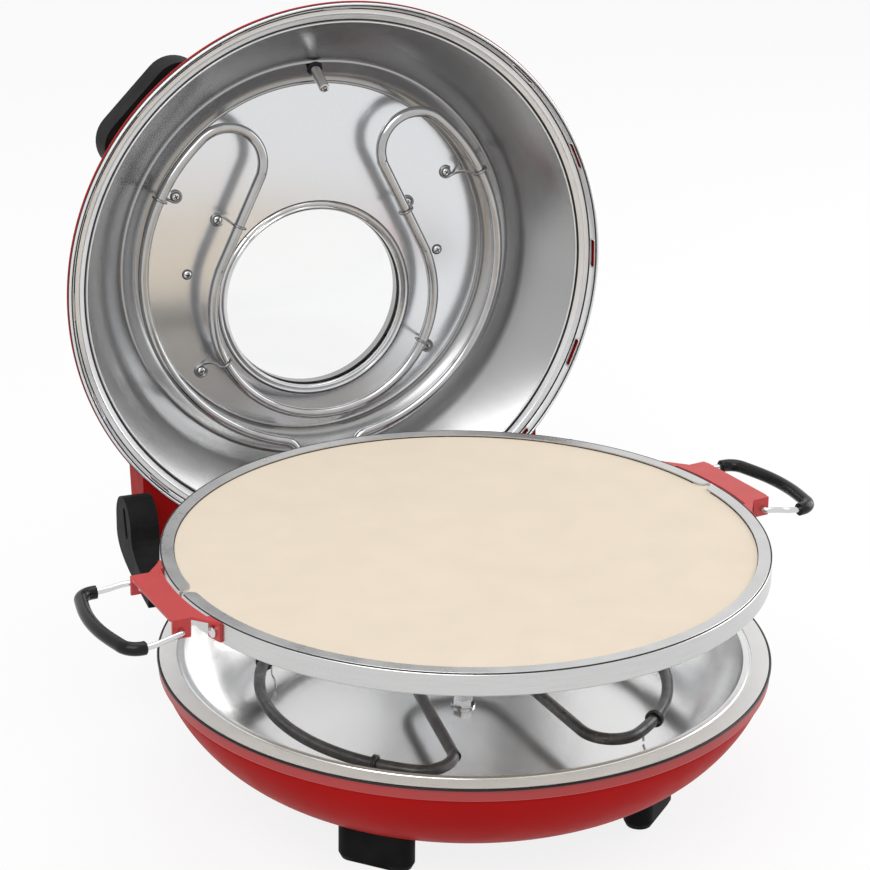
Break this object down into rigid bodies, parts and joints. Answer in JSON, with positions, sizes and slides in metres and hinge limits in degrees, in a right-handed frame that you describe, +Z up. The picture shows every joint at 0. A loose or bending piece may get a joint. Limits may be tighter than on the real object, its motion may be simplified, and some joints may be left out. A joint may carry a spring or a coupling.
{
  "type": "electric pizza maker",
  "caption": "Round countertop pizza maker with a hinged domed lid, a stone in a lift-out carrier with folding bail handles, heater tubes in base and lid, and a window.",
  "frame": {"origin": "on the table under the centre of the round base", "axes": "+Z up, -Y towards the front, +Y towards the hinge, +X to the right as seen from the front"},
  "size_m": [0.4271, 0.5216, 0.3986],
  "materials": {
    "red_enamel": "glossy red enamel",
    "bracket_red": "satin red enamel",
    "black_plastic": "fine-grained black plastic",
    "reflector_steel": "satin steel",
    "bright_steel": "bright steel",
    "ring_steel": "pale satin metal",
    "dark_heater": "heat-darkened steel",
    "stone": "matt cream cordierite",
    "clear_glass": "clear tempered glass",
    "ceramic": "unglazed white ceramic",
    "lamp_plastic": "translucent amber plastic"
  },
  "bodies": {
    "base": {"base_shell": "red_enamel", "base_trim": "black_plastic", "base_pan": "reflector_steel", "lower_element": "dark_heater", "lower_clips": "bright_steel", "lower_bushes": "ceramic", "pan_washer": "bright_steel", "pan_bolt": "bright_steel", "foot_front_left": "black_plastic", "foot_front_right": "black_plastic", "foot_rear_left": "black_plastic", "foot_rear_right": "black_plastic", "foot_screws": "bright_steel", "hinge_block_left": "black_plastic", "hinge_block_right": "black_plastic", "hinge_screws": "bright_steel", "hinge_plates": "reflector_steel", "hinge_pin_left": "bright_steel", "hinge_pin_right": "bright_steel", "cord_gland": "black_plastic", "terminal_block": "ceramic"},
    "lid": {"lid_shell": "red_enamel", "lid_rim": "reflector_steel", "lid_pan": "reflector_steel", "hinge_housing": "red_enamel", "window_glass": "clear_glass", "window_ring": "bright_steel", "window_bezel": "black_plastic", "upper_element": "bright_steel", "upper_clips": "bright_steel", "upper_bushes": "ceramic", "pan_screws": "bright_steel", "probe": "bright_steel", "probe_grommet": "black_plastic", "lid_grip_left": "black_plastic", "lid_grip_right": "black_plastic", "control_housing": "black_plastic", "thermostat": "reflector_steel", "pilot_lamps": "lamp_plastic"},
    "knob": {"temperature_knob": "black_plastic", "knob_shaft": "bright_steel"},
    "carrier": {"pizza_stone": "stone", "ring_front": "ring_steel", "ring_rear": "ring_steel", "bracket_left": "bracket_red", "bracket_right": "bracket_red", "bracket_screws": "bright_steel"},
    "left_bail": {"bail_left": "bright_steel", "bail_grip_left": "black_plastic"},
    "right_bail": {"bail_right": "bright_steel", "bail_grip_right": "black_plastic"}
  },
  "joints": [
    {"name": "lid_hinge", "type": "hinge", "parent": "base", "child": "lid", "pos_m": [0, 0.1715, 0.059], "axis": [1, 0, 0], "range_deg": [0, 92]},
    {"name": "carrier_lift", "type": "slide", "parent": "base", "child": "carrier", "axis": [0.2056, 0.5232, -0.827], "range_m": [0, 0.08754]},
    {"name": "left_bail_hinge", "type": "hinge", "parent": "carrier", "child": "left_bail", "pos_m": [-0.19242, -0.06229, 0.1587], "axis": [-0.0941, 0.9956, 0], "range_deg": [0, 80]},
    {"name": "right_bail_hinge", "type": "hinge", "parent": "carrier", "child": "right_bail", "pos_m": [0.15421, -0.01357, 0.1587], "axis": [0.1839, -0.9829, 0], "range_deg": [0, 80]},
    {"name": "knob_turn", "type": "hinge", "parent": "lid", "child": "knob", "pos_m": [0, 0.29532, 0.33235], "axis": [0, 0.9994, -0.0349], "range_deg": [0, 270]}
  ],
  "couplings": [
    {"joint": "carrier_lift", "follows": "lid_hinge", "m_per_rad": 0.05451}
  ]
}
